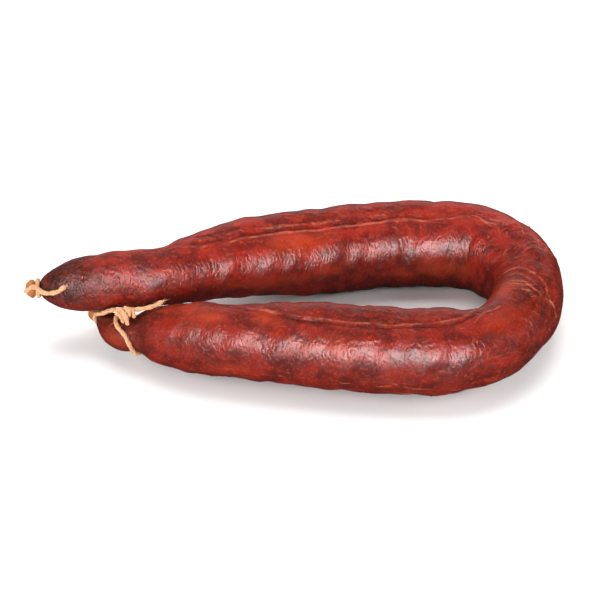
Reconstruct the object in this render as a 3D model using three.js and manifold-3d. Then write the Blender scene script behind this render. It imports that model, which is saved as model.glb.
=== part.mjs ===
// A cured sausage in its natural casing, tied off with twine at both ends and bent into a narrow
// horseshoe. The bend and the near arm lie on the ground, and the thin end of the far arm rises
// over the tied tip of the near one. Millimetres, +Z up, the ground at Z = 0 and the origin at the
// middle of the footprint. +X points from the two ends towards the bend, +Y from near to far.
import * as THREE from 'three';
import { mergeVertices } from 'three/addons/utils/BufferGeometryUtils.js';
import Module from 'manifold-3d';

// Driving dimensions
const CALIBRE = 32.4;          // diameter of the sausage round the bend
const SINK = 0.5;              // how far its weight flattens it on the ground
const REST = CALIBRE / 2 - SINK; // height of the centre line where it lies on the ground
const TWINE = 2.2;             // thickness of the twine
const GAP = 0.35;              // clearance between the twine and the casing
const ON_SKIN = GAP + TWINE / 2; // height of the twine's own centre line above the casing

// Centre line, from the tip of the far arm, through the bend, to the tip of the near arm,
// measured from the centre of the bend
const FAR_ARM = [
  [-189, -2.6, 24.4], [-168, -0.9, 25.0], [-147, 2.8, 25.8], [-127.4, 5.9, 24.8], [-109, 14.1, 22.6],
  [-90.5, 21.9, 20.5], [-72, 27.5, 18.5], [-53, 33.4, 16.9], [-34, 38.6, 15.9], [-15, 41.2, REST],
];
const BEND_RADII = [41.4, 46.7, 47.4, 42.8, 39.5, 39.7, 40.6];
const NEAR_ARM = [
  [-18, -40.4, REST], [-40, -38.4, REST], [-62.5, -35.1, REST], [-85, -31.3, REST], [-103, -27.3, 15.0],
  [-119, -23.6, 13.6], [-130, -21.0, 13.1], [-137.6, -20.6, 12.6], [-142.2, -19.4, 11.4],
  [-146.8, -14.9, 9.8], [-151.3, -7.6, 8.3], [-155.0, -1.5, 7.2], [-160.6, 4.0, 6.0],
];

// Radius along the sausage: distance from that tip, radius. The first few rows are the flared
// tail of casing beyond the twine and the neck that the twine pinches.
const FAR_END = [
  [0, 0], [0.5, 2.4], [1.8, 3.6], [3.0, 4.4], [4.0, 4.2], [4.9, 2.9], [7.0, 2.9], [7.8, 4.2], [9.2, 5.7],
  [11.6, 7.4], [15, 9.3], [19.5, 10.9], [25, 12.2], [32, 12.8], [44, 13.2], [62, 13.3], [82, 14.3],
  [104, 15.6], [124, 16.0],
];
const NEAR_END = [
  [0, 0], [0.6, 1.9], [2, 3.0], [4.4, 3.4], [6.2, 2.4], [8.8, 2.4], [10, 3.6], [12, 4.6], [14.7, 5.4],
  [18, 6.3], [23.5, 7.4], [30, 7.9], [33.5, 8.0], [36.5, 8.4], [38.5, 9.5], [41.5, 11.1], [46, 12.9],
  [54, 14.8], [66, 16.2], [84, 16.3],
];
// Radius round the bend: distance from the middle of the bend, radius
const BEND_GIRTH = [[-80, 15.9], [-38, 18.2], [0, 16.6], [38, 16.6], [80, 17.2]];

// Second lobes, where the dried casing has folded into a furrow along its top. Each fades in
// between the first two distances from its own tip and out between the last two.
const LOBES = [
  { end: 'far', fade: [53, 127, 196, 247], angle: 13, offset: 9.2, radius: 15.5 },
  { end: 'near', fade: [69, 126, 176, 207], angle: 158, offset: 7.4, radius: 15.5 },
];
// Slow unevenness of the dried meat: height, waves along the whole length, waves round, phase
const LUMPS = [[0.22, 19, 2, 0.4], [0.16, 31, 3, 1.9], [0.12, 47, 5, 4.1]];
const LUMPY_FROM = [6, 13];    // radii between which the unevenness grows in from the tips

// Fineness of the surfaces
const SECTION_SIDES = 48;
const RING_STEP = 5.8;         // spacing of the rings along the arms
const FAR_DETAIL = 32;         // within these distances of the tips the rings follow the rows above
const NEAR_DETAIL = 54;
const TWINE_SIDES = 8;
const FAR_HOOP_STEPS = 20;
const NEAR_HOOP_STEPS = 18;
const MEAT_HOOP_STEPS = 32;

const CASING = new THREE.MeshStandardMaterial({
  name: 'cured_casing', color: 0x7a2016, roughness: 0.38, metalness: 0,
});
const COTTON = new THREE.MeshStandardMaterial({
  name: 'cotton_twine', color: 0xc79a66, roughness: 0.85, metalness: 0,
});

// Curves that the shape is read from

function smoothStep(from, to, x) {
  const t = THREE.MathUtils.clamp((x - from) / (to - from), 0, 1);
  return t * t * (3 - 2 * t);
}

// A curve through the rows that never swings past them
function steadyCurve(rows) {
  const slopes = rows.slice(1).map(([x, y], i) => (y - rows[i][1]) / (x - rows[i][0]));
  const bends = rows.map((row, i) => {
    if (i === 0) return slopes[0];
    if (i === rows.length - 1) return slopes[i - 1];
    const [before, after] = [slopes[i - 1], slopes[i]];
    return before * after > 0 ? (2 * before * after) / (before + after) : 0;
  });
  return (x) => {
    const found = rows.findIndex((row) => row[0] > x);
    const i = found < 0 ? rows.length - 2 : Math.max(found - 1, 0);
    const width = rows[i + 1][0] - rows[i][0];
    const t = THREE.MathUtils.clamp((x - rows[i][0]) / width, 0, 1);
    const h = t * t * (3 - 2 * t);
    return rows[i][1] * (1 - h) + rows[i + 1][1] * h
      + width * t * (1 - t) * ((1 - t) * bends[i] - t * bends[i + 1]);
  };
}

function centreLine() {
  const steps = BEND_RADII.length - 1;
  const bend = BEND_RADII.map((radius, i) => {
    const angle = Math.PI / 2 - (Math.PI * i) / steps;
    return [radius * Math.cos(angle), radius * Math.sin(angle), REST];
  });
  const points = [...FAR_ARM, ...bend, ...NEAR_ARM].map((xyz) => new THREE.Vector3(...xyz));
  const curve = new THREE.CatmullRomCurve3(points, false, 'catmullrom', 0.5);
  curve.arcLengthDivisions = 4000;
  curve.updateArcLengths();
  const middle = (FAR_ARM.length + steps / 2) / (points.length - 1);
  const middleAt = curve.getLengths()[Math.round(middle * curve.arcLengthDivisions)];
  return { curve, middleAt };
}

const { curve: spine, middleAt: BEND_MIDDLE } = centreLine();
const LENGTH = spine.getLength();
const girth = steadyCurve([
  ...FAR_END,
  ...BEND_GIRTH.map(([d, radius]) => [BEND_MIDDLE + d, radius]),
  ...NEAR_END.map(([d, radius]) => [LENGTH - d, radius]).reverse(),
]);

// The frame of a cross section: out is the outer side of the horseshoe, up is the top
function sectionFrame(s) {
  const u = THREE.MathUtils.clamp(s / LENGTH, 0, 1);
  const centre = spine.getPointAt(u);
  const along = spine.getTangentAt(u);
  const out = new THREE.Vector3(0, 0, 1).cross(along).normalize();
  const up = along.clone().cross(out);
  return { centre, along, out, up };
}

// Radius of the casing at a distance along it and an angle round it, 0 outward and 90 up
function skinRadius(s, angle) {
  const base = girth(s);
  const grown = smoothStep(LUMPY_FROM[0], LUMPY_FROM[1], base);
  let radius = base;
  for (const lobe of LOBES) {
    const d = lobe.end === 'far' ? s : LENGTH - s;
    const share = smoothStep(lobe.fade[0], lobe.fade[1], d) * (1 - smoothStep(lobe.fade[2], lobe.fade[3], d));
    const offset = lobe.offset * share;
    const lobeRadius = THREE.MathUtils.lerp(base, lobe.radius, share);
    const turn = angle - THREE.MathUtils.degToRad(lobe.angle);
    const reach = lobeRadius ** 2 - (offset * Math.sin(turn)) ** 2;
    radius = Math.max(radius, offset * Math.cos(turn) + Math.sqrt(reach));
  }
  for (const [height, along, round, phase] of LUMPS) {
    radius += grown * height * Math.sin((2 * Math.PI * along * s) / LENGTH + round * angle + phase);
  }
  return radius;
}

// A point on the casing, or a little above it
function skinPoint(s, angle, lift = 0) {
  const { centre, out, up } = sectionFrame(s);
  const reach = skinRadius(s, angle) + lift;
  return centre
    .addScaledVector(out, reach * Math.cos(angle))
    .addScaledVector(up, reach * Math.sin(angle));
}

// The sausage: a lathed bar laid along the centre line and flattened where it meets the ground

function ringPlaces() {
  const farTip = FAR_END.map(([d]) => d).filter((d) => d <= FAR_DETAIL);
  const nearTip = NEAR_END.map(([d]) => d).filter((d) => d <= NEAR_DETAIL).map((d) => LENGTH - d).reverse();
  const stretch = LENGTH - NEAR_DETAIL - FAR_DETAIL;
  const count = Math.round(stretch / RING_STEP);
  const arms = Array.from({ length: count - 1 }, (_, i) => FAR_DETAIL + (stretch * (i + 1)) / count);
  return [...farTip, ...arms, ...nearTip];
}

function sausageGeometry() {
  const tipDistance = (s) => Math.min(s, LENGTH - s);
  const profile = ringPlaces().map((s) => new THREE.Vector2(tipDistance(s) > 0 ? 1 : 0, s));
  const geometry = new THREE.LatheGeometry(profile, SECTION_SIDES);
  const position = geometry.getAttribute('position');
  for (let i = 0; i < position.count; i += 1) {
    const s = position.getY(i);
    const atTip = tipDistance(s) === 0;
    const angle = Math.atan2(position.getX(i), position.getZ(i));
    const point = atTip ? sectionFrame(s).centre : skinPoint(s, angle);
    position.setXYZ(i, point.x, point.y, Math.max(point.z, 0));
  }
  geometry.computeVertexNormals();
  return geometry;
}

// Twine

// A strand along a route, which is measured from the centre of the bend like the centre line
function strand(route) {
  const points = route.map((xyz) => new THREE.Vector3(...xyz));
  const path = new THREE.CatmullRomCurve3(points, false, 'centripetal');
  const section = new THREE.Shape().absarc(0, 0, TWINE / 2, 0, 2 * Math.PI);
  const steps = Math.max(4, Math.round(path.getLength() / TWINE));
  return new THREE.ExtrudeGeometry(section, {
    steps, extrudePath: path, bevelEnabled: false, curveSegments: TWINE_SIDES,
  });
}

// A hoop of twine round the casing, at a distance that may change with the angle round it
function hoop(distance, lift, steps) {
  const flat = 10;
  const geometry = new THREE.TorusGeometry(flat, TWINE / 2, TWINE_SIDES, steps);
  const position = geometry.getAttribute('position');
  for (let i = 0; i < position.count; i += 1) {
    const angle = Math.atan2(position.getY(i), position.getX(i));
    const across = Math.hypot(position.getX(i), position.getY(i)) - flat;
    const s = distance(angle);
    const { along, out, up } = sectionFrame(s);
    const point = skinPoint(s, angle, lift)
      .addScaledVector(out, across * Math.cos(angle))
      .addScaledVector(up, across * Math.sin(angle))
      .addScaledVector(along, position.getZ(i));
    position.setXYZ(i, point.x, point.y, point.z);
  }
  return geometry;
}

const wasm = await Module();
wasm.setup();

function solid(geometry) {
  const bare = geometry.clone();
  bare.deleteAttribute('normal');
  bare.deleteAttribute('uv');
  const merged = mergeVertices(bare, 1e-4);
  return new wasm.Manifold(new wasm.Mesh({
    numProp: 3,
    vertProperties: new Float32Array(merged.getAttribute('position').array),
    triVerts: new Uint32Array(merged.getIndex().array),
  }));
}

function joined(geometries) {
  const whole = geometries.map(solid).reduce((sum, piece) => sum.add(piece));
  const mesh = whole.getMesh();
  const geometry = new THREE.BufferGeometry();
  geometry.setAttribute('position', new THREE.BufferAttribute(mesh.vertProperties, 3));
  geometry.setIndex(new THREE.BufferAttribute(mesh.triVerts, 1));
  geometry.computeVertexNormals();
  return geometry;
}

// Far end: a hoop in the neck, crossed by a strand that trails over the rounded end
const FAR_HOOP = 6.0;
const FAR_TAIL = [
  [-187.2, -7.4, 27.5], [-185.2, -6.8, 28.9], [-183.1, -6.9, 28.4], [-181.4, -7.9, 27.8],
  [-180.0, -9.2, 27.5], [-177.1, -10.4, 28.0], [-172.8, -11.6, 29.9], [-170.7, -11.4, 31.6],
  [-169.1, -11.2, 32.6],
];

function farTwine() {
  return joined([
    hoop(() => FAR_HOOP, ON_SKIN, FAR_HOOP_STEPS),
    strand(FAR_TAIL),
  ]);
}

// Near end: a small hoop in the neck, a large one round the end of the meat, and one strand
// that runs from the small hoop through the knot and back along the top of the arm. Three short
// turns lie across it to make the knot.
const NEAR_HOOP = 7.5;
const NEAR_HOOP_SLACK = 0.1;
const MEAT_HOOP = 34.5;
const MEAT_HOOP_SLACK = 0.65;
const MEAT_HOOP_SLANT = 1.5;   // how much nearer the tip it lies on top, and farther underneath
const MEAT_HOOP_PULL = 5;      // how far the knot pulls it towards the tip
const NEAR_STRAND = [
  [-157.3, -3.0, 10.7], [-156.2, -8.0, 14.2], [-152.9, -11.1, 17.1], [-149.8, -12.2, 19.3],
  [-147.2, -13.5, 21.0], [-145.6, -16.2, 22.2], [-143.2, -18.0, 23.6], [-140.4, -17.6, 24.2],
  [-137.2, -18.1, 25.4], [-132.8, -18.9, 26.7], [-129.8, -18.9, 27.4], [-127.0, -17.5, 27.7],
  [-125.1, -15.6, 27.4],
];
const KNOT_TURNS = [
  [[-146.5, -16.9, 21.5], [-144.8, -19.2, 22.9], [-143.2, -22.2, 23.1], [-142.5, -24.6, 22.0]],
  [[-144.6, -17.2, 22.8], [-142.9, -19.8, 24.3], [-141.4, -23.2, 24.3], [-140.4, -26.5, 22.2]],
  [[-141.8, -17.2, 24.2], [-140.3, -19.6, 25.1], [-139.2, -22.2, 24.8]],
];

function nearTwine() {
  const meatHoop = (angle) => {
    const rise = Math.sin(angle);
    return LENGTH - MEAT_HOOP + MEAT_HOOP_SLANT * rise + MEAT_HOOP_PULL * Math.max(rise, 0) ** 6;
  };
  return joined([
    hoop(() => LENGTH - NEAR_HOOP, ON_SKIN + NEAR_HOOP_SLACK, NEAR_HOOP_STEPS),
    hoop(meatHoop, ON_SKIN + MEAT_HOOP_SLACK, MEAT_HOOP_STEPS),
    strand(NEAR_STRAND),
    ...KNOT_TURNS.map(strand),
  ]);
}

function piece(name, geometry, material) {
  const mesh = new THREE.Mesh(geometry, material);
  mesh.name = name;
  return mesh;
}

const sausage = new THREE.Group();
sausage.name = 'cured_sausage';
sausage.add(piece('sausage', sausageGeometry(), CASING));
sausage.add(piece('twine_far', farTwine(), COTTON));
sausage.add(piece('twine_near', nearTwine(), COTTON));

// The origin goes to the middle of the footprint, on the ground
const footprint = new THREE.Box3().setFromObject(sausage, true);
const middle = footprint.getCenter(new THREE.Vector3());
sausage.position.set(-middle.x, -middle.y, 0);
sausage.updateMatrixWorld(true);

export default sausage;
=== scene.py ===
"""The looks of a cured sausage: a natural casing over coarse red meat, bent into a horseshoe and
tied off with cotton twine at both ends. It lies on a pale floor in soft studio light."""
import itertools
import math

import bpy
import numpy as np
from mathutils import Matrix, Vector


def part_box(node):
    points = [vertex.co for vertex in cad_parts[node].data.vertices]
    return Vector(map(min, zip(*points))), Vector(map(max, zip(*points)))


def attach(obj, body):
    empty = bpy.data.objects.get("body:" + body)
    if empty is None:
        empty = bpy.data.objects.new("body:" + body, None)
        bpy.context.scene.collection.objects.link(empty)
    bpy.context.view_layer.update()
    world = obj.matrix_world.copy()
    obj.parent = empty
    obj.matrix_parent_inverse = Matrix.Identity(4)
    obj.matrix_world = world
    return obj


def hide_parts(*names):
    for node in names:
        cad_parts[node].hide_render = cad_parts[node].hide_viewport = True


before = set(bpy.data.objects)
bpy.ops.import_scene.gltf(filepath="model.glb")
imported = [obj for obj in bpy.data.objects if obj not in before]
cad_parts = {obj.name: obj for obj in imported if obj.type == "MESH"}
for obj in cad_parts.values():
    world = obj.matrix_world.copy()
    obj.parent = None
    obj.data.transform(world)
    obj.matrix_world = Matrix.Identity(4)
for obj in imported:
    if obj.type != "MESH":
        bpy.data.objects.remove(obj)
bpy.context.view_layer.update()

# Driving dimensions, in millimetres from the centre of the bend, the same as in the solids
CALIBRE = 32.4                 # diameter of the sausage round the bend
SINK = 0.5                     # how far its weight flattens it on the ground
REST = CALIBRE / 2 - SINK      # height of the centre line where it lies on the ground
TWINE = 2.2                    # thickness of the twine

# Centre line, from the tip of the far arm, through the bend, to the tip of the near arm
FAR_ARM = [
    (-189, -2.6, 24.4), (-168, -0.9, 25.0), (-147, 2.8, 25.8), (-127.4, 5.9, 24.8), (-109, 14.1, 22.6),
    (-90.5, 21.9, 20.5), (-72, 27.5, 18.5), (-53, 33.4, 16.9), (-34, 38.6, 15.9), (-15, 41.2, REST),
]
BEND_RADII = [41.4, 46.7, 47.4, 42.8, 39.5, 39.7, 40.6]
NEAR_ARM = [
    (-18, -40.4, REST), (-40, -38.4, REST), (-62.5, -35.1, REST), (-85, -31.3, REST), (-103, -27.3, 15.0),
    (-119, -23.6, 13.6), (-130, -21.0, 13.1), (-137.6, -20.6, 12.6), (-142.2, -19.4, 11.4),
    (-146.8, -14.9, 9.8), (-151.3, -7.6, 8.3), (-155.0, -1.5, 7.2), (-160.6, 4.0, 6.0),
]

# Radius along the sausage: distance from that tip, radius. The first few rows are the flared tail
# of casing beyond the twine and the neck that the twine pinches.
FAR_END = [
    (0, 0), (0.5, 2.4), (1.8, 3.6), (3.0, 4.4), (4.0, 4.2), (4.9, 2.9), (7.0, 2.9), (7.8, 4.2), (9.2, 5.7),
    (11.6, 7.4), (15, 9.3), (19.5, 10.9), (25, 12.2), (32, 12.8), (44, 13.2), (62, 13.3), (82, 14.3),
    (104, 15.6), (124, 16.0),
]
NEAR_END = [
    (0, 0), (0.6, 1.9), (2, 3.0), (4.4, 3.4), (6.2, 2.4), (8.8, 2.4), (10, 3.6), (12, 4.6), (14.7, 5.4),
    (18, 6.3), (23.5, 7.4), (30, 7.9), (33.5, 8.0), (36.5, 8.4), (38.5, 9.5), (41.5, 11.1), (46, 12.9),
    (54, 14.8), (66, 16.2), (84, 16.3),
]
# Radius round the bend: distance from the middle of the bend, radius
BEND_GIRTH = [(-80, 15.9), (-38, 18.2), (0, 16.6), (38, 16.6), (80, 17.2)]

# Second lobes, where the dried casing has folded into a furrow along its top: the distances from
# its own tip over which each fades in and out, its angle, offset and radius
LOBES = [("far", (53, 127, 196, 247), 13, 9.2, 15.5), ("near", (69, 126, 176, 207), 158, 7.4, 15.5)]
# Slow unevenness of the dried meat: height, waves along the whole length, waves round, phase
LUMPS = [(0.22, 19, 2, 0.4), (0.16, 31, 3, 1.9), (0.12, 47, 5, 4.1)]
LUMPY_FROM = (6, 13)           # radii between which the unevenness grows in from the tips

METRES = 0.001                 # in a millimetre

# Fineness of the surface
ROWS = 690                    # rings along the casing
SIDES = 140                    # points round each ring
TIP = 1                        # length of each tip, where the rings lie closer together
TIP_RINGS = 14
SPINE_STEPS = 160              # points of the centre line between one given point and the next
UNIFORM = 0                    # powers of the gaps in a Catmull-Rom curve
CENTRIPETAL = 0.5


# Curves that the shape is read from

def smooth_step(start, end, x):
    """0 before the start and 1 past the end, which may be the lower of the two."""
    t = np.clip((x - start) / (end - start), 0, 1)
    return t * t * (3 - 2 * t)


def fading(start, end, x):
    """1 before the start and 0 past the end."""
    return 1 - smooth_step(start, end, x)


def unit(vectors):
    return vectors / np.linalg.norm(vectors, axis=-1, keepdims=True)


def steady_curve(rows):
    """A curve through the rows that never swings past them."""
    places, heights = np.array(rows, float).T
    slopes = np.diff(heights) / np.diff(places)
    before, after = slopes[:-1], slopes[1:]
    same_way = before * after > 0
    inner = np.where(same_way, 2 * before * after / np.where(same_way, before + after, 1), 0)
    bends = np.concatenate([slopes[:1], inner, slopes[-1:]])

    def curve(x):
        i = np.clip(np.searchsorted(places, x, side="right") - 1, 0, len(places) - 2)
        width = places[i + 1] - places[i]
        t = np.clip((x - places[i]) / width, 0, 1)
        h = t * t * (3 - 2 * t)
        swing = width * t * (1 - t) * ((1 - t) * bends[i] - t * bends[i + 1])
        return heights[i] * (1 - h) + heights[i + 1] * h + swing

    return curve


def smooth_route(points, power, steps):
    """A Catmull-Rom curve through the points."""
    points = np.array(points, float)
    p = np.vstack([2 * points[0] - points[1], points, 2 * points[-1] - points[-2]])
    gaps = np.linalg.norm(np.diff(p, axis=0), axis=1) ** power
    w = np.linspace(0, 1, steps, endpoint=False)[:, None]
    spans = []
    for i in range(1, len(p) - 2):
        a, b, c, d = p[i - 1:i + 3]
        first, middle, last = gaps[i - 1:i + 2]
        leave = ((b - a) / first - (c - a) / (first + middle) + (c - b) / middle) * middle
        reach = ((c - b) / middle - (d - b) / (middle + last) + (d - c) / last) * middle
        bow = 3 * (c - b) - 2 * leave - reach
        spans.append(b + leave * w + bow * w**2 + (2 * (b - c) + leave + reach) * w**3)
    return np.vstack([*spans, points[-1:]])


class Line:
    """A route with distances along it."""

    def __init__(self, points):
        self.points = points
        steps = np.linalg.norm(np.diff(points, axis=0), axis=1)
        self.places = np.concatenate([[0], np.cumsum(steps)])
        self.length = self.places[-1]
        self.ways = np.gradient(points, self.places, axis=0)

    def read(self, values, s):
        return np.stack([np.interp(s, self.places, values[:, k]) for k in range(3)], -1)

    def at(self, s):
        """The point at a distance, and the direction there."""
        return self.read(self.points, s), unit(self.read(self.ways, s))


def centre_line():
    """The line along the middle of the sausage, and the distance of the middle of its bend."""
    turns = len(BEND_RADII) - 1
    angles = [math.pi / 2 - math.pi * i / turns for i in range(turns + 1)]
    bend = [(r * math.cos(a), r * math.sin(a), REST) for r, a in zip(BEND_RADII, angles)]
    line = Line(smooth_route([*FAR_ARM, *bend, *NEAR_ARM], UNIFORM, SPINE_STEPS))
    return line, line.places[(len(FAR_ARM) + turns // 2) * SPINE_STEPS]


SPINE, BEND_MIDDLE = centre_line()
LENGTH = SPINE.length
GIRTH = steady_curve([
    *FAR_END,
    *[(BEND_MIDDLE + d, radius) for d, radius in BEND_GIRTH],
    *[(LENGTH - d, radius) for d, radius in reversed(NEAR_END)],
])


def section_frame(s):
    """Centre of a cross section, and the ways to the outer side of the horseshoe and to the top."""
    centre, along = SPINE.at(np.clip(s, 0, LENGTH))
    out = unit(np.cross((0.0, 0.0, 1.0), along))
    return centre, out, np.cross(along, out)


def skin_radius(s, angle):
    """Radius of the bare casing, at an angle of 0 outward and 90 degrees up."""
    base = GIRTH(s)
    radius = base + 0 * angle
    for end, (come, full, leave, gone), lobe_angle, offset, lobe_radius in LOBES:
        d = s if end == "far" else LENGTH - s
        share = smooth_step(come, full, d) * fading(leave, gone, d)
        turn = angle - math.radians(lobe_angle)
        reach = (base + (lobe_radius - base) * share) ** 2 - (offset * share * np.sin(turn)) ** 2
        radius = np.maximum(radius, offset * share * np.cos(turn) + np.sqrt(reach))
    grown = smooth_step(*LUMPY_FROM, base)
    for height, along, around, phase in LUMPS:
        radius = radius + grown * height * np.sin(2 * math.pi * along * s / LENGTH + around * angle + phase)
    return radius


def skin_point(s, angle, radius):
    centre, out, up = section_frame(s)
    side = np.cos(angle)[..., None] * out + np.sin(angle)[..., None] * up
    return centre + radius[..., None] * side


# Uneven values

CLOUD_CELLS = (64, 32, 32)     # the values start again after so many cells


def cloud(points, cell, seed):
    """Smooth random values from -1 to 1, with a hump about every cell."""
    table = np.random.default_rng(seed).uniform(-1, 1, CLOUD_CELLS)
    scaled = points / cell
    floor = np.floor(scaled).astype(int)
    t = scaled - floor
    t = t * t * (3 - 2 * t)
    total = 0
    for corner in itertools.product((0, 1), repeat=3):
        weight = np.prod(np.where(corner, t, 1 - t), axis=-1)
        i, j, k = np.moveaxis((floor + corner) % table.shape, -1, 0)
        total = total + weight * table[i, j, k]
    return total


# Wrinkles of the casing: half width, depth, height of the lips to the left and right of the way it
# runs, and rows of distance from the far tip and angle. A wrinkle with a depth below zero is a ridge.
WRINKLES = [
    # the long furrows on top of both arms
    (1.0, 0.36, 0.08, 0.28, [
        (40, 66), (63, 72), (84, 90), (98, 91), (110, 85), (121, 84), (150, 87), (169, 84), (181, 80),
        (195, 83), (210, 85), (222, 80),
    ]),
    (0.9, 0.25, 0.05, 0.20, [(70, 62), (92, 76), (112, 72), (134, 74), (158, 70), (180, 66)]),
    (0.45, -0.34, 0, 0, [(92, 101), (110, 95), (125, 94), (150, 97), (170, 94), (186, 91), (205, 94)]),
    (0.45, -0.26, 0, 0, [(100, 82), (121, 77), (150, 80), (172, 77), (195, 76), (215, 77)]),
    (0.45, -0.24, 0, 0, [(440, 2), (425, -6), (405, -12), (384, -14), (360, -13), (338, -15), (318, -12)]),
    (0.45, -0.20, 0, 0, [(418, 4), (400, -2), (376, -4), (352, -6), (330, -4)]),
    (0.9, 0.40, 0.38, 0.05, [
        (440, 122), (432, 108), (423, 100), (415, 95), (408, 91), (400, 91), (393, 87), (384, 88),
        (369, 85), (349, 86), (339, 91), (328, 93), (320, 96), (308, 107), (296, 123), (288, 140),
    ]),
    (0.7, 0.30, 0.26, 0.05, [
        (392, 114), (385, 109), (377, 104), (370, 98), (364, 100), (354, 104), (348, 99), (341, 98),
        (333, 101), (326, 103), (316, 105), (304, 116),
    ]),
    # arcs that fan out of the inner corner of the bend and close up again on its outer side
    (0.5, -0.48, 0, 0, [
        (267, 176), (265.5, 162), (265, 145), (264.5, 130), (264.5, 114), (265.5, 102), (268, 89),
        (270, 77), (271.5, 67), (274, 57), (277, 50), (278, 37), (278.5, 25), (279.5, 8), (281.5, -6),
        (284, -22),
    ]),
    (0.45, -0.40, 0, 0, [
        (272, 160), (268.5, 135), (269.5, 122), (269.5, 109), (272, 95), (274.5, 82), (276.5, 69),
        (278, 55),
    ]),
    (0.5, -0.50, 0, 0, [
        (283.5, 136), (276.5, 120), (276, 109), (276.5, 95), (278, 84), (279, 72), (279.5, 59), (279, 47),
        (277.5, 31), (277.5, 14),
    ]),
    (0.45, -0.36, 0, 0, [(284.5, 124), (280, 109), (280, 97), (281, 82), (283, 69), (283, 57), (281, 42)]),
    (0.45, -0.30, 0, 0, [(283, 110), (282, 90), (283.5, 75), (286, 61), (288, 48)]),
    (0.7, 0.22, 0.08, 0.08, [(241, 188), (252, 154), (255, 134), (256, 118)]),
    (0.6, 0.18, 0.08, 0.08, [(235, 176), (229, 156), (231.5, 140), (236, 124)]),
    (0.7, 0.22, 0.08, 0.08, [(250, 196), (257, 170), (260.5, 150), (261, 130), (262, 112)]),
    (0.8, 0.30, 0.12, 0.10, [(257.5, 60), (258.5, 37), (261, 16), (266, -6)]),
    (0.6, 0.22, 0.12, 0.05, [(234, 100), (235.5, 89), (235, 75), (234, 55)]),
    (0.4, -0.34, 0, 0, [(231, 98), (232.5, 86), (233, 72), (231.5, 56), (230, 42)]),
    (0.4, -0.32, 0, 0, [(238.5, 92), (241, 78), (244.5, 64), (249, 50), (254, 38)]),
    (0.4, -0.26, 0, 0, [(245, 94), (248, 80), (252, 66), (257, 52)]),
    (0.6, 0.20, 0.12, 0.05, [(237, 98), (238.5, 75), (241.5, 64), (246, 52)]),
    # creases across the shiny sides
    (0.6, 0.28, 0.06, 0.06, [(82, 114), (83, 124), (83.5, 139), (83, 158)]),
    (0.55, 0.25, 0.05, 0.05, [(126, 118), (126.5, 140), (125.5, 162)]),
    (0.5, 0.20, 0.05, 0.05, [(130, 112), (133, 126), (132, 140)]),
    (0.55, 0.25, 0.05, 0.05, [(175, 120), (176, 149), (174.5, 172)]),
]


# Cross section of a wrinkle, in half widths: how far it reaches, and the place and width of its lips
WRINKLE_REACH = 4
LIP_PLACE = 1.9
LIP_WIDTH = 0.9
WRINKLE_FADE = 0.22            # share of its length over which each end fades out
WRINKLE_STEPS = 8              # points between one row and the next

# Scattered wrinkles: seed, how many, distances from the far tip, angles, lengths, slant, half width
# and depth, which is below zero for ridges
SCATTERED = [
    (21, 60, (40, 230), (20, 120), (14, 40), 0, 0.55, 0.10),
    (22, 50, (300, 450), (60, 150), (14, 40), 0, 0.55, 0.10),
    (23, 90, (60, 240), (110, 200), (3, 9), 90, 0.45, 0.17),
    (24, 90, (300, 450), (-10, 80), (3, 9), 90, 0.45, 0.17),
    (25, 60, (225, 305), (-40, 130), (5, 14), 80, 0.5, 0.10),
    (26, 60, (40, 470), (-180, 180), (5, 16), 20, 0.6, 0.08),
    (27, 30, (9, 50), (-180, 180), (8, 24), 0, 0.5, 0.14),
    (28, 40, (LENGTH - 60, LENGTH - 12), (-180, 180), (8, 24), 0, 0.5, 0.14),
    (29, 130, (20, 95), (60, 215), (4, 9), 40, 0.45, 0.12),
    (30, 50, (80, 240), (55, 115), (8, 28), 0, 0.42, -0.26),
    (31, 34, (300, 450), (70, 130), (8, 26), 0, 0.42, -0.24),
    (32, 30, (300, 440), (-52, -4), (12, 34), 0, 0.42, -0.26),
    (33, 36, (235, 302), (0, 115), (8, 20), 75, 0.42, -0.26),
]
SCATTER_PLACES = (-0.5, -0.17, 0.17, 0.5)    # where its points lie, in lengths from its middle
SCATTER_SIZES = (0.6, 1.3)
SLANT_SPREAD = 14              # degrees
BOW_SPREAD = 0.12              # how far the middle bows out, in lengths
LIP_SHARE = 0.35               # height of its lips, as a share of its depth

# Fine unevenness: height, stretch along and round the casing, size of its humps, and seed
CLOUDS = [
    (0.08, (1, 0.5, 0.5), 6.5, 11),
    (0.06, (1, 0.6, 0.6), 3.2, 12),
    (0.03, (1, 0.6, 0.6), 1.7, 13),
]

# The far arm's weight rests on its inner lower side: height of the sag, its angle and half width,
# and the distances over which it comes and goes
SAG = 2.9
SAG_ANGLE = 232
SAG_WIDTH = 17
SAG_SPAN = (108, 150, 240, 264)


def route_on_skin(rows):
    """The curve on the casing through rows of distance and angle."""
    places = smooth_route([(s, a, 0) for s, a in rows], CENTRIPETAL, WRINKLE_STEPS)
    s = places[:, 0]
    angle = np.radians(places[:, 1])
    return skin_point(s, angle, skin_radius(s, angle))


def distance_to(route, points, outward):
    """How far each point is from the route, how far along the route its nearest place is, and
    on which side of it the point lies, above zero on the left seen from outside."""
    best = np.full(len(points), np.inf)
    share = np.zeros(len(points))
    side = np.zeros(len(points))
    for i, (a, b) in enumerate(zip(route[:-1], route[1:])):
        way = b - a
        t = np.clip((points - a) @ way / max(way @ way, 1e-9), 0, 1)
        off = points - a - t[:, None] * way
        far = np.linalg.norm(off, axis=1)
        closer = far < best
        best[closer] = far[closer]
        share[closer] = (i + t[closer]) / (len(route) - 1)
        side[closer] = np.einsum("ij,ij->i", np.cross(way, off[closer]), outward[closer])
    return best, share, side


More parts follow.
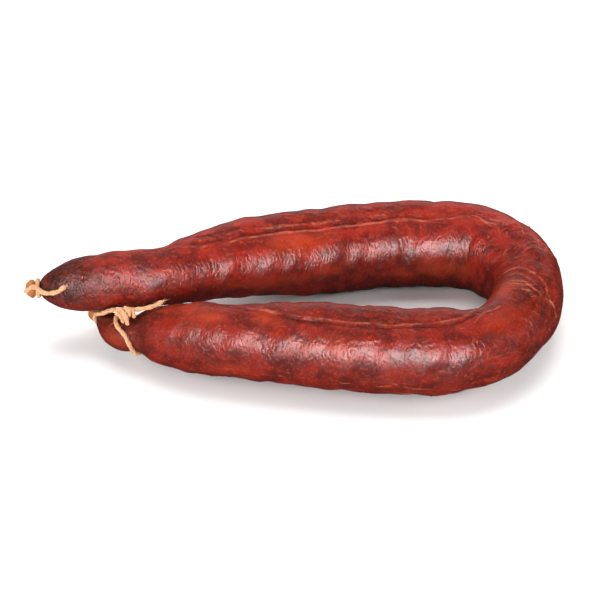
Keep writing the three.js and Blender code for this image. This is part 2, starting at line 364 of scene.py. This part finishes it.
def press(points, outward, relief, route, width, depth, left, right):
    """Presses a wrinkle into the relief: a groove with a raised lip on each side."""
    reach = WRINKLE_REACH * width
    low, high = route.min(0) - reach, route.max(0) + reach
    near = np.flatnonzero(((points > low) & (points < high)).all(1))
    if not len(near):
        return
    far, share, side = distance_to(route, points[near], outward[near])
    fade = smooth_step(0, WRINKLE_FADE, share) * fading(1 - WRINKLE_FADE, 1, share)
    groove = depth * np.exp(-((far / width) ** 2))
    lip = np.where(side > 0, left, right)
    lips = lip * np.exp(-(((far / width - LIP_PLACE) / LIP_WIDTH) ** 2))
    relief[near] += fade * (lips - groove)


def scattered_wrinkles(points, outward, relief, seed, count, span, angles, lengths, slant, width, depth):
    """Short wrinkles scattered over a stretch of the casing. slant is their mean direction, from 0
    along the casing to 90 degrees round it."""
    random = np.random.default_rng(seed)
    for _ in range(count):
        s = random.uniform(*span)
        angle = random.uniform(*angles)
        length = random.uniform(*lengths)
        way = math.radians(random.normal(slant, SLANT_SPREAD))
        bow = random.normal(0, BOW_SPREAD) * length
        size = random.uniform(*SCATTER_SIZES)
        radius = float(GIRTH(s))
        rows = []
        for place in SCATTER_PLACES:
            run = place * length
            off = bow * (1 - (2 * place) ** 2)
            along = run * math.cos(way) - off * math.sin(way)
            around = run * math.sin(way) + off * math.cos(way)
            rows.append((s + along, angle + math.degrees(around / radius)))
        lip = LIP_SHARE * depth * size
        press(points, outward, relief, route_on_skin(rows), width * size, depth * size, lip, lip)


def fine_relief(straight, points, outward):
    """Height of the wrinkles and of the fine unevenness."""
    relief = np.zeros(len(points))
    for width, depth, left, right, rows in WRINKLES:
        press(points, outward, relief, route_on_skin(rows), width, depth, left, right)
    for row in SCATTERED:
        scattered_wrinkles(points, outward, relief, *row)
    grown = smooth_step(*LUMPY_FROM, GIRTH(straight[:, 0]))
    for height, stretch, cell, seed in CLOUDS:
        relief += grown * height * cloud(straight * stretch, cell, seed)
    return relief


def angle_of(straight):
    return np.arctan2(straight[:, 2], straight[:, 1])


def sag_share(straight):
    """How much of the sag there is at straightened places, from 0 to 1."""
    s = straight[:, 0]
    turn = (np.degrees(angle_of(straight)) - SAG_ANGLE + 180) % 360 - 180
    come, full, leave, gone = SAG_SPAN
    return np.exp(-((turn / SAG_WIDTH) ** 2)) * smooth_step(come, full, s) * fading(leave, gone, s)


def casing_faces(ring_count):
    """Faces between the rings, and fans to the two tips, which are the last two points."""
    ring = np.arange(SIDES)
    after = np.roll(ring, -1)
    starts = np.arange(ring_count - 1)[:, None] * SIDES
    quads = np.stack([starts + ring, starts + SIDES + ring, starts + SIDES + after, starts + after], -1)
    far_tip = ring_count * SIDES
    near_tip = far_tip + 1
    last = (ring_count - 1) * SIDES
    fans = [(far_tip, i, j) for i, j in zip(ring, after)]
    fans += [(near_tip, last + j, last + i) for i, j in zip(ring, after)]
    return [*map(tuple, quads.reshape(-1, 4).tolist()), *fans]


def casing_mesh():
    """Points, faces, straightened places, points of the bare casing, and relief."""
    tip = TIP * (1 - np.cos(np.linspace(0, math.pi / 2, TIP_RINGS)))
    body = np.linspace(TIP, LENGTH - TIP, ROWS - 2 * TIP_RINGS + 2)
    rings = np.concatenate([tip[1:-1], body, (LENGTH - tip[1:-1])[::-1]])
    angles = np.arange(SIDES) * 2 * math.pi / SIDES
    s, angle = (grid.ravel() for grid in np.meshgrid(rings, angles, indexing="ij"))
    radius = skin_radius(s, angle)
    bare = skin_point(s, angle, radius)
    straight = np.stack([s, radius * np.cos(angle), radius * np.sin(angle)], -1)
    outward = unit(bare - section_frame(s)[0])
    relief = fine_relief(straight, bare, outward)
    points = skin_point(s, angle, radius + relief + SAG * sag_share(straight))
    points = np.vstack([points, section_frame(np.array([0, LENGTH]))[0]])
    points[:, 2] = np.maximum(points[:, 2], 0)
    straight = np.vstack([straight, [(0, 0, 0), (LENGTH, 0, 0)]])
    relief = np.append(relief, [0, 0])
    return points, casing_faces(len(rings)), straight, bare, relief


def mesh_object(name, points, faces, material):
    mesh = bpy.data.meshes.new(name)
    mesh.from_pydata((points * METRES).tolist(), [], faces)
    mesh.polygons.foreach_set("use_smooth", [True] * len(mesh.polygons))
    mesh.materials.append(material)
    thing = bpy.data.objects.new(name, mesh)
    bpy.context.scene.collection.objects.link(thing)
    return thing


def keep_values(thing, name, kind, values):
    """Stores a value for each point, for the material to read."""
    attribute = thing.data.attributes.new(name, kind, "POINT")
    key = "vector" if kind == "FLOAT_VECTOR" else "value"
    attribute.data.foreach_set(key, np.asarray(values, np.float32).ravel())


# Materials

def colour(red, green, blue):
    """A colour given as a screen shows it, 0 to 255, as the shaders want it."""
    shares = [x / 255 for x in (red, green, blue)]
    return (*[x / 12.92 if x <= 0.04045 else ((x + 0.055) / 1.055) ** 2.4 for x in shares], 1)


class Shader:
    """A material and the nodes added to it."""

    def __init__(self, name, **surface):
        self.material = bpy.data.materials.new(name)
        self.material.use_nodes = True
        self.tree = self.material.node_tree
        self.surface = self.tree.nodes["Principled BSDF"]
        for socket, value in surface.items():
            self.feed(self.surface.inputs[socket.replace("_", " ")], value)

    def feed(self, socket, value):
        if isinstance(value, bpy.types.NodeSocket):
            self.tree.links.new(value, socket)
        else:
            socket.default_value = value

    def add(self, kind, inputs, **settings):
        node = self.tree.nodes.new("ShaderNode" + kind)
        for name, value in settings.items():
            setattr(node, name, value)
        for name, value in inputs.items():
            self.feed(node.inputs[name], value)
        return node

    def value(self, name):
        """A number that the mesh holds for each point."""
        return self.add("Attribute", {}, attribute_name=name).outputs["Fac"]

    def place(self):
        """The straightened places that the mesh holds."""
        return self.add("Attribute", {}, attribute_name="straight").outputs["Vector"]

    def noise(self, place, size, detail=2.0, roughness=0.5, distortion=0.0):
        """Noise with humps of about the given size in the units of place."""
        inputs = {"Vector": place, "Scale": 1 / size, "Detail": detail, "Roughness": roughness}
        return self.add("TexNoise", {**inputs, "Distortion": distortion}).outputs[0]

    def stretched(self, place, scale):
        return self.add("Mapping", {"Vector": place, "Scale": scale}).outputs[0]

    def steps(self, value, low, high, to_low=0.0, to_high=1.0):
        """A smooth step from to_low, where the value is low, to to_high, where it is high."""
        inputs = {"Value": value, "From Min": low, "From Max": high, "To Min": to_low, "To Max": to_high}
        return self.add("MapRange", inputs, interpolation_type="SMOOTHSTEP").outputs[0]

    def maths(self, operation, *values):
        node = self.add("Math", {}, operation=operation)
        for socket, value in zip(node.inputs, values):
            self.feed(socket, value)
        return node.outputs[0]

    def mix(self, share, low, high):
        node = self.add("Mix", {0: share, 6: low, 7: high}, data_type="RGBA")
        return node.outputs[2]

    def warped(self, place, cell, reach):
        """Places pushed about, so that a regular pattern read from them turns uneven."""
        warp = self.add("TexNoise", {"Vector": place, "Scale": 1 / cell, "Detail": 2.0}).outputs["Color"]
        push = self.add("VectorMath", {0: warp, 1: (reach, reach, reach)}, operation="MULTIPLY").outputs[0]
        return self.add("VectorMath", {0: place, 1: push}, operation="ADD").outputs[0]

    def plates(self, place, edge):
        """Plates at 1, one to each unit of place, whose edges slope down to 0."""
        cells = self.add("TexVoronoi", {"Vector": place, "Scale": 1.0}, feature="DISTANCE_TO_EDGE")
        return self.steps(cells.outputs["Distance"], 0.0, edge)

    def bump(self, height, metres):
        bump = self.add("Bump", {"Height": height, "Distance": metres, "Strength": 1.0})
        self.feed(self.surface.inputs["Normal"], bump.outputs[0])


# Colours of the casing
BRICK = colour(134, 27, 15)
MAROON = colour(92, 19, 13)
EMBER = colour(168, 53, 20)
# Soot of the smoked ends, also the colour of the painted shade in the grooves, on the shaded sides and in
# the sag
SOOT_AND_SHADE = colour(42, 19, 13)
# Painted highlight where the raised folds and ridges catch the light
FOLD_HIGHLIGHT = colour(176, 98, 70)
DRIED_DARK = colour(92, 44, 24)
DRIED_LIGHT = colour(168, 100, 54)

# Sizes of the casing's patterns, in millimetres
PATCH = 7.0
BLOTCH = 4.0
FOLD_BREAK = 2.4
SPOT = 2.2
FLECK = 1.1
GLOSS_PATCH = 5.0
WARP_CELL = 2.5
WARP_REACH = 2.6
PLATE_LENGTH = 1.6
PLATE_WIDTH = 3.4
GRAIN = 0.9

PLATE_EDGE = 0.42              # width of the slope round each plate, in plates
GRAIN_HEIGHT = 0.8             # height of the grain, in heights of a plate
PLATE_HEIGHT = 0.0001          # metres
ROUGHNESS = (0.29, 0.41)
DULL_ROUGHNESS = 0.14          # how much rougher the far end is


def casing_colour(shader, place):
    """Brick red over maroon with ember spots, painted shade in the grooves and a painted highlight on the
    raised folds.
    """
    patches = shader.noise(shader.stretched(place, (0.7, 1, 1)), PATCH, detail=4, roughness=0.55)
    streaked = shader.stretched(place, (0.8, 1, 1))
    spots = shader.noise(streaked, SPOT, detail=3, roughness=0.6, distortion=0.6)
    blotches = shader.noise(place, BLOTCH, detail=3, roughness=0.6)
    flecks = shader.noise(place, FLECK)
    relief = shader.value("relief")
    uneven = shader.steps(blotches, 0.30, 0.60, to_low=0.6)
    body = shader.mix(shader.steps(patches, 0.38, 0.60), MAROON, BRICK)
    body = shader.mix(shader.steps(spots, 0.54, 0.74, to_high=0.7), body, EMBER)
    body = shader.mix(shader.steps(flecks, 0.28, 0.44, to_low=0.45, to_high=0), body, MAROON)
    # Painted shade in the grooves
    body = shader.mix(shader.steps(relief, -0.34, -0.06, to_low=0.5, to_high=0), body, SOOT_AND_SHADE)
    # Smoked ends, dark spots, a darker bend, and painted shade and shadow, from the darkness value
    body = shader.mix(shader.maths("MULTIPLY", shader.value("darkness"), uneven), body, SOOT_AND_SHADE)
    body = shader.mix(shader.steps(flecks, 0.56, 0.72, to_high=0.5), body, EMBER)
    # Painted highlight on the raised folds, broken up by noise
    broken = shader.steps(shader.noise(place, FOLD_BREAK), 0.38, 0.60, to_low=0.15, to_high=0.6)
    raised = shader.steps(relief, 0.10, 0.36)
    body = shader.mix(shader.maths("MULTIPLY", raised, broken), body, FOLD_HIGHLIGHT)
    body = shader.mix(shader.maths("MULTIPLY", shader.value("warmth"), uneven), body, EMBER)
    dried = shader.mix(uneven, DRIED_DARK, DRIED_LIGHT)
    return shader.mix(shader.value("tail"), body, dried)


def casing_height(shader, place, dull):
    """Fine plates and grain of the dried casing, twice as deep where it is dull."""
    warped = shader.warped(place, WARP_CELL, WARP_REACH)
    plate_scale = (1 / PLATE_LENGTH, 1 / PLATE_WIDTH, 1 / PLATE_WIDTH)
    plates = shader.plates(shader.stretched(warped, plate_scale), PLATE_EDGE)
    grain = shader.noise(shader.stretched(warped, (1, 0.6, 0.6)), GRAIN, detail=3, roughness=0.6)
    height = shader.maths("MULTIPLY_ADD", grain, GRAIN_HEIGHT, plates)
    return shader.maths("MULTIPLY", height, shader.maths("ADD", dull, 1.0))


def casing_material():
    shader = Shader("cured_casing", Specular_IOR_Level=0.4)
    place = shader.place()
    dull = shader.value("dull")
    shader.feed(shader.surface.inputs["Base Color"], casing_colour(shader, place))
    shader.bump(casing_height(shader, place, dull), PLATE_HEIGHT)
    smooth, rough = ROUGHNESS
    gloss = shader.steps(shader.noise(place, GLOSS_PATCH, detail=3), 0.35, 0.65, smooth, rough)
    roughness = shader.maths("MULTIPLY_ADD", dull, DULL_ROUGHNESS, gloss)
    shader.feed(shader.surface.inputs["Roughness"], roughness)
    return shader.material


COTTON_DARK = colour(184, 128, 86)
COTTON_LIGHT = colour(216, 172, 134)
COTTON_STAIN = colour(190, 124, 76)
FIBRE = 0.45                   # size of the fibres' noise, in millimetres
STAIN = 5.0
FIBRE_HEIGHT = 0.00012         # metres


def twine_material():
    shader = Shader("cotton_twine", Specular_IOR_Level=0.25, Roughness=0.85)
    place = shader.place()
    fibres = shader.noise(shader.stretched(place, (0.35, 2.2, 2.2)), FIBRE, detail=3, roughness=0.6)
    stains = shader.noise(place, STAIN, detail=3, roughness=0.6)
    cotton = shader.mix(shader.steps(fibres, 0.3, 0.7), COTTON_DARK, COTTON_LIGHT)
    cotton = shader.mix(shader.steps(stains, 0.5, 0.75), cotton, COTTON_STAIN)
    shader.feed(shader.surface.inputs["Base Color"], cotton)
    shader.bump(fibres, FIBRE_HEIGHT)
    return shader.material


def floor_material():
    return Shader("floor", Base_Color=FLOOR_TONE, Roughness=0.9, Specular_IOR_Level=0.2).material


# The casing

def row_shift(bare):
    """From the centre of the bend to the origin of the frame."""
    low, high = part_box("sausage")
    middle = np.array((low + high) / 2) / METRES
    own = (bare.min(0) + bare.max(0)) / 2
    return np.array([middle[0] - own[0], middle[1] - own[1], 0])


# Spots of colour: distance from the far tip, angle, half length along, half width round, strength
WARM_SPOTS = [
    (435, 76, 7, 4, 0.7), (440, 81, 12, 8, 0.4), (411, 86, 5, 4, 0.7), (128, 117, 14, 5, 0.8),
    (105, 184, 20, 2.5, 0.6), (122, 180, 16, 2.5, 0.5), (141, 172, 10, 2.5, 0.5), (202, 186, 13, 5, 1.0),
    (182, 196, 8, 3, 0.8), (214, 200, 9, 3, 0.9), (217, 184, 9, 5, 0.9), (196, 168, 9, 3, 0.5),
    (477, 13, 7, 4.5, 0.45), (283, 119, 9, 6, 0.5), (305, 75, 9, 5, 0.4), (376, 49, 8, 5, 0.4),
    (425, 347, 10, 4, 0.4),
]
DARK_SPOTS = [
    (57, 94, 11, 5, 0.5), (65, 162, 9, 6, 0.4), (78, 183, 12, 4, 0.5), (157, 173, 16, 3, 0.4),
    (470, 19, 5, 6, 0.5), (453, 36, 6, 5, 0.4), (482, 49, 8, 6, 0.5), (243, 88, 8, 6, 0.3),
    (333, 19, 12, 5, 0.4), (471, 318, 8, 6, 0.5),
]

# Distances over which the looks change, from the tip of the same end
FAR_TAIL_END = (4.4, 5.6)
NEAR_TAIL_END = (6, 8)
FAR_CUT_END = (1.2, 3.2)
NEAR_CUT_END = (0.8, 2.0)
FAR_SMOKE_END = (14, 48)
NEAR_SMOKE_END = (36, 60)
# and from the far tip
DULL_END = (48, 80)
FAR_BACK_END = (215, 250)
BEND_START = (228, 256)
BEND_END = (286, 318)
NEAR_START = (235, 285)
NEAR_INNER_START = (280, 310)

# Heights and sideways places on the section, in radii, between which its sides begin
UPPER_SIDE = (-0.9, 0.3)
LOWER_SIDE = (0.35, -0.15)
INNER_SIDE = (0.0, -0.5)
OUTER_SIDE = (0.4, 0.95)

# How dark the stretches and sides are, from 0 to 1. The near arm, its lower and inner sides and the far
# arm's outer side get painted shade, and the sag gets a painted shadow.
FAR_SMOKE_BELOW = 0.45
NEAR_SMOKE = 0.8
NEAR_ARM_SHADE = 0.22
NEAR_LOWER_SHADE = 0.16
BEND_DARK = 0.36
INNER_SHADE = 0.30
BACK_SHADE = 0.30
SAG_SHADOW = 0.97


def spots_at(straight, rows):
    """How strongly spots colour each point, from 0 to 1."""
    strength = np.zeros(len(straight))
    angles = angle_of(straight)
    radius = np.hypot(straight[:, 1], straight[:, 2])
    for s, angle, half_length, half_width, height in rows:
        turn = (angles - math.radians(angle) + math.pi) % (2 * math.pi) - math.pi
        far = ((straight[:, 0] - s) / half_length) ** 2 + (turn * radius / half_width) ** 2
        strength = np.maximum(strength, height * np.exp(-far))
    return strength


def darkness_at(straight, tails):
    """How dark each point is, from 0 to 1: smoked ends, painted shade on the near arm and on the inner and
    outer sides, a darker bend, a painted shadow in the sag, dark spots and the cut tips.
    """
    s = straight[:, 0]
    from_near = LENGTH - s
    radius = np.maximum(GIRTH(s), 1)
    sideways = straight[:, 1] / radius
    height = straight[:, 2] / radius
    smoke_below = FAR_SMOKE_BELOW + (1 - FAR_SMOKE_BELOW) * smooth_step(*UPPER_SIDE, height)
    far_smoke = smoke_below * fading(*FAR_SMOKE_END, s)
    near_smoke = NEAR_SMOKE * fading(*NEAR_SMOKE_END, from_near)
    # Painted shade: the near arm darker, most on its lower side, its inner side that faces the gap darker,
    # and the far arm's hidden outer side darker; the bend is darker all round
    near_shade = NEAR_ARM_SHADE + NEAR_LOWER_SHADE * smooth_step(*LOWER_SIDE, height)
    shade = near_shade * smooth_step(*NEAR_START, s)
    shade += BEND_DARK * smooth_step(*BEND_START, s) * fading(*BEND_END, s)
    shade += INNER_SHADE * smooth_step(*INNER_SIDE, sideways) * smooth_step(*NEAR_INNER_START, s)
    shade += BACK_SHADE * smooth_step(*OUTER_SIDE, sideways) * fading(*FAR_BACK_END, s)
    # Painted shadow on the far arm's underside, where it sags towards the floor
    sag = SAG_SHADOW * sag_share(straight)
    darkness = np.max([far_smoke, near_smoke, shade, sag, spots_at(straight, DARK_SPOTS)], axis=0)
    cut = np.maximum(fading(*FAR_CUT_END, s), fading(*NEAR_CUT_END, from_near))
    return np.maximum(darkness * (1 - tails), cut)


def make_casing(material):
    points, faces, straight, bare, relief = casing_mesh()
    shift = row_shift(bare)
    casing = mesh_object("casing", points + shift, faces, material)
    s = straight[:, 0]
    tails = np.maximum(fading(*FAR_TAIL_END, s), fading(*NEAR_TAIL_END, LENGTH - s))
    keep_values(casing, "straight", "FLOAT_VECTOR", straight)
    keep_values(casing, "relief", "FLOAT", relief)
    keep_values(casing, "darkness", "FLOAT", darkness_at(straight, tails))
    keep_values(casing, "warmth", "FLOAT", spots_at(straight, WARM_SPOTS))
    keep_values(casing, "dull", "FLOAT", fading(*DULL_END, s))
    keep_values(casing, "tail", "FLOAT", tails)
    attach(casing, "root")
    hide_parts("sausage")
    return shift


# Twine

# Each hoop's distance from its own tip, and the points of the strands
FAR_HOOP = 6.0
FAR_TAIL = [
    (-188.6, -7.9, 26.6), (-187.2, -7.4, 27.5), (-185.2, -6.8, 28.9), (-183.1, -6.9, 28.4),
    (-181.4, -7.9, 27.8), (-180.0, -9.2, 27.5), (-177.1, -10.4, 28.0), (-172.8, -11.6, 29.9),
    (-170.7, -11.4, 31.6), (-169.1, -11.2, 32.6),
]
NEAR_HOOP = 7.5
MEAT_HOOP = 34.5
MEAT_HOOP_SLANT = 1.5          # how far it leans towards the bend at the top
MEAT_HOOP_PULL = 5             # how far the knot pulls its top, and how sharply
MEAT_HOOP_PEAK = 6
NEAR_STRAND = [
    (-157.3, -3.0, 10.7), (-156.2, -8.0, 14.2), (-152.9, -11.1, 17.1), (-149.8, -12.2, 19.3),
    (-147.2, -13.5, 21.0), (-145.6, -16.0, 22.6), (-143.2, -17.6, 24.2), (-140.4, -17.4, 24.3),
    (-137.2, -18.1, 24.7), (-132.8, -18.9, 26.0), (-129.8, -18.9, 26.9), (-127.0, -17.5, 27.4),
    (-125.1, -15.6, 27.2),
]
KNOT_TURNS = [
    [(-146.5, -16.9, 21.5), (-144.8, -19.2, 22.9), (-143.2, -22.2, 23.1), (-142.5, -24.6, 22.0)],
    [(-144.6, -17.2, 22.8), (-142.9, -19.8, 24.3), (-141.4, -23.2, 24.3), (-140.4, -26.5, 22.2)],
    [(-142.4, -16.6, 24.6), (-140.6, -19.4, 25.3), (-139.6, -22.6, 24.2)],
    [(-140.4, -17.2, 24.4), (-138.9, -19.2, 24.8), (-138.0, -21.0, 24.4), (-137.8, -22.8, 23.4)],
]
TWINE_LIFT = 0.9               # how high the middle of the twine lies above the casing
PLY = 0.84                     # radius of each of the two plies
TWIST = 10.5                   # length of one full turn of the plies
PLY_SIDES = 10
PLY_STEP = 0.35
PLY_ROUNDING = 0.7             # how long each rounded end is, in radii of a ply
PLY_BLUNTNESS = 0.05           # square of the share of the radius that the very end keeps
PLY_WOBBLES = [(0.06, 2.3), (0.04, 5.1)]    # how much its radius varies, and how fast along it
STRAND_STEPS = 12              # points between one given point and the next
HOOP_POINTS = 90
HOOP_START = 1.2               # the angle where the hoops in the necks begin
HOOP_OVERLAP = 0.12            # how far round each hoop runs past its own start
TUBE_GAP = 40.0                # keeps the noise on one tube apart from that on the next
NO_WAY = (0.31, 0.22, 1.0)     # a direction that no route starts along

# Loose fibres at a cut end
FIBRE_STEPS = 8
FIBRE_SIDES = 6
FIBRE_RADII = (0.2, 0.34)
FIBRE_TIP = 0.05
FIBRE_LEAN = 0.32
FIBRE_BEND = 0.25
FIBRE_SPREAD = 0.3
FIBRE_SIZES = (0.6, 1.2)

# Fine hairs along the twine
HAIR_STEPS = 6
HAIR_SIDES = 3
HAIR_RADIUS = 0.05
HAIR_TIP = 0.02
HAIR_SLANT = 1.2
HAIR_CURL = 0.5
HAIR_ROOT = 0.8
HAIR_LENGTHS = (0.96, 2.4)


def across(points):
    """Two directions across a route at each of its points, which turn as little as they can."""
    ways = unit(np.gradient(points, axis=0))
    sides = [unit(np.cross(ways[0], NO_WAY))]
    for way in ways[1:]:
        sides.append(unit(sides[-1] - way * (sides[-1] @ way)))
    sides = np.array(sides)
    return sides, np.cross(ways, sides)


class Tubes:
    """Round tubes gathered into one mesh, with straightened places for the material to read."""

    def __init__(self):
        self.points = []
        self.faces = []
        self.places = []
        self.count = 0

    def add(self, route, radii, sides=PLY_SIDES):
        """One tube along the route, closed at both ends."""
        first, second = across(route)
        turns = np.arange(sides) * 2 * math.pi / sides
        ring = np.cos(turns)[:, None] * first[:, None] + np.sin(turns)[:, None] * second[:, None]
        run = np.concatenate([[0], np.cumsum(np.linalg.norm(np.diff(route, axis=0), axis=1))])
        self.points.append((route[:, None] + radii[:, None, None] * ring).reshape(-1, 3))
        run_of_all = run + TUBE_GAP * len(self.points)
        lengthwise = np.broadcast_to(run_of_all[:, None, None], (len(run), sides, 1))
        flat = np.stack([np.cos(turns), np.sin(turns)], -1)[None] * radii[:, None, None]
        self.places.append(np.concatenate([lengthwise, flat], -1).reshape(-1, 3))
        for i in range(len(route) - 1):
            a = self.count + i * sides
            b = a + sides
            for j in range(sides):
                after = (j + 1) % sides
                self.faces.append((a + j, a + after, b + after, b + j))
        last = self.count + (len(route) - 1) * sides
        self.faces.append(tuple(self.count + j for j in reversed(range(sides))))
        self.faces.append(tuple(last + j for j in range(sides)))
        self.count += len(route) * sides

    def twine(self, route, seed):
        """Two plies wound round each other, rounded off at both ends."""
        random = np.random.default_rng(seed)
        line = Line(route)
        run = np.linspace(0, line.length, round(line.length / PLY_STEP))
        centre = line.at(run)[0]
        first, second = across(centre)
        phase = random.uniform(0, 2 * math.pi)
        from_end = np.minimum(run, line.length - run)
        ends = np.sqrt(np.clip(from_end / (PLY_ROUNDING * PLY), PLY_BLUNTNESS, 1))
        (slow, slow_speed), (quick, quick_speed) = PLY_WOBBLES
        for ply in range(2):
            turn = phase + math.pi * ply + 2 * math.pi * run / TWIST
            off = (TWINE / 2 - PLY) * (np.cos(turn)[:, None] * first + np.sin(turn)[:, None] * second)
            wobble = slow * np.sin(run * slow_speed + random.uniform(0, 6))
            wobble += quick * np.sin(run * quick_speed + ply)
            self.add(centre + off, PLY * (1 + wobble) * ends)

    def fray(self, start, way, seed, count, length):
        """Loose fibres fanning out of a cut end."""
        random = np.random.default_rng(seed)
        way = unit(np.array(way, float))
        t = np.linspace(0, 1, FIBRE_STEPS)[:, None]
        for _ in range(count):
            lean = unit(way + random.normal(0, FIBRE_LEAN, 3))
            bend = random.normal(0, FIBRE_BEND, 3)
            size = length * random.uniform(*FIBRE_SIZES)
            root = np.array(start) + random.normal(0, FIBRE_SPREAD, 3)
            radii = np.linspace(random.uniform(*FIBRE_RADII), FIBRE_TIP, FIBRE_STEPS)
            self.add(root + size * (lean * t + bend * t * t), radii, FIBRE_SIDES)

    def fuzz(self, route, seed, count):
        """Fine hairs that stand off the twine."""
        random = np.random.default_rng(seed)
        t = np.linspace(0, 1, HAIR_STEPS)[:, None]
        radii = np.linspace(HAIR_RADIUS, HAIR_TIP, HAIR_STEPS)
        for _ in range(count):
            i = random.integers(1, len(route) - 1)
            way = unit(route[i + 1] - route[i - 1])
            lean = unit(random.normal(0, 1, 3) + HAIR_SLANT * way * random.choice((-1, 1)))
            curl = random.normal(0, HAIR_CURL, 3)
            length = random.uniform(*HAIR_LENGTHS)
            root = route[i] + HAIR_ROOT * (lean - way * (lean @ way))
            self.add(root + length * (lean * t + curl * t * t), radii, HAIR_SIDES)


def hoop_route(place, start):
    """Once round the casing, at a distance that depends on the angle."""
    angles = np.linspace(start, start + 2 * math.pi + HOOP_OVERLAP, HOOP_POINTS)
    s = place(angles)
    return skin_point(s, angles, skin_radius(s, angles) + TWINE_LIFT)


def neck_hoop_route(s):
    return hoop_route(lambda angles: np.full_like(angles, s), HOOP_START)


def meat_hoop_place(angles):
    rise = np.sin(angles)
    pull = MEAT_HOOP_PULL * np.maximum(rise, 0) ** MEAT_HOOP_PEAK
    return LENGTH - MEAT_HOOP + MEAT_HOOP_SLANT * rise + pull


def strand_route(points):
    return smooth_route(points, CENTRIPETAL, STRAND_STEPS)


def far_twine():
    tubes = Tubes()
    tubes.twine(neck_hoop_route(FAR_HOOP), seed=31)
    tail = strand_route(FAR_TAIL)
    tubes.twine(tail, seed=32)
    tubes.fray(tail[-1], tail[-1] - tail[-4], seed=33, count=5, length=1.2)
    tubes.fray(tail[0], (-1, 0, 0.5), seed=34, count=3, length=0.9)
    tubes.fuzz(tail, seed=35, count=26)
    return tubes


def near_twine():
    tubes = Tubes()
    tubes.twine(neck_hoop_route(LENGTH - NEAR_HOOP), seed=41)
    meat_hoop = hoop_route(meat_hoop_place, math.pi / 2)
    tubes.twine(meat_hoop, seed=42)
    strand = strand_route(NEAR_STRAND)
    tubes.twine(strand, seed=43)
    tubes.fray(strand[-1], strand[-1] - strand[-4], seed=44, count=6, length=2.3)
    for i, turn in enumerate(KNOT_TURNS):
        tubes.twine(strand_route(turn), seed=45 + i)
    tubes.fuzz(strand, seed=48, count=40)
    tubes.fuzz(meat_hoop, seed=49, count=30)
    return tubes


def make_twine(name, tubes, node, shift, material):
    points = np.vstack(tubes.points) + shift
    twine = mesh_object(name, points, tubes.faces, material)
    keep_values(twine, "straight", "FLOAT_VECTOR", np.vstack(tubes.places))
    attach(twine, "root")
    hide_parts(node)


# Floor, light and camera

FLOOR_TONE = (0.86, 0.86, 0.86, 1)
FLOOR_REACH = 8000
FLOOR_DROP = 0.05              # how far the floor lies below the object


def make_floor():
    far, down = FLOOR_REACH, -FLOOR_DROP
    corners = np.array([(-far, -far, down), (far, -far, down), (far, far, down), (-far, far, down)])
    floor = mesh_object("floor", corners, [(0, 1, 2, 3)], floor_material())
    floor.visible_glossy = False


def aim(thing, place, target):
    thing.location = np.array(place) * METRES
    way = Vector(np.array(target, float) - np.array(place, float))
    thing.rotation_euler = way.to_track_quat("-Z", "Y").to_euler()


# Lights: name, place, what it points at, size, power in watts, and whether it shows in gloss and
# whether it lights matt surfaces
LIGHTS = [
    ("front", (40, -950, 560), (20, 0, 20), (900, 480), 0.8, True, True),
    ("strip", (40, -900, 760), (20, 0, 20), (1000, 680), 32, True, False),
    ("low_front", (0, -1300, 340), (0, 0, 20), (1800, 560), 20, False, True),
    ("top", (0, 80, 1200), (0, 0, 0), (1200, 900), 1, False, True),
    ("top_back", (-60, 600, 1050), (0, 0, 0), (1200, 800), 16, False, True),
    ("left", (-1300, -150, 420), (0, 0, 20), (1200, 700), 19, False, True),
    ("right", (1300, -150, 420), (0, 0, 20), (1200, 700), 20, False, True),
    ("back", (0, 1500, 450), (0, 0, 100), (2600, 900), 28, False, True),
    ("rim", (0, 1500, 330), (0, 0, 20), (2600, 560), 4, True, False),
]
AMBIENT = 0.04

# Camera
CAMERA_TARGET = (1.82, 16.49, 0)
CAMERA_DISTANCE = 1000
CAMERA_ELEVATION = 38          # degrees
LENS = 126
SENSOR = 36


def make_light(name, place, target, size, power, glossy, diffuse):
    light = bpy.data.lights.new(name, "AREA")
    light.shape = "RECTANGLE"
    light.size = size[0] * METRES
    light.size_y = size[1] * METRES
    light.energy = power
    thing = bpy.data.objects.new(name, light)
    thing.visible_glossy = glossy
    thing.visible_diffuse = diffuse
    bpy.context.scene.collection.objects.link(thing)
    aim(thing, place, target)


def make_surroundings():
    world = bpy.data.worlds.new("studio")
    world.use_nodes = True
    background = world.node_tree.nodes["Background"]
    background.inputs["Color"].default_value = (1, 1, 1, 1)
    background.inputs["Strength"].default_value = AMBIENT
    bpy.context.scene.world = world
    bpy.context.scene.view_settings.view_transform = "Standard"


def make_camera():
    camera = bpy.data.cameras.new("camera")
    camera.lens = LENS
    camera.sensor_width = SENSOR
    thing = bpy.data.objects.new("camera", camera)
    bpy.context.scene.collection.objects.link(thing)
    elevation = math.radians(CAMERA_ELEVATION)
    back = np.array([0, -math.cos(elevation), math.sin(elevation)])
    thing.location = (np.array(CAMERA_TARGET) + CAMERA_DISTANCE * back) * METRES
    thing.rotation_euler = (math.pi / 2 - elevation, 0, 0)
    bpy.context.scene.camera = thing


make_camera()
make_surroundings()
for light in LIGHTS:
    make_light(*light)
make_floor()
shift = make_casing(casing_material())
cotton = twine_material()
make_twine("far_tie", far_twine(), "twine_far", shift, cotton)
make_twine("near_tie", near_twine(), "twine_near", shift, cotton)
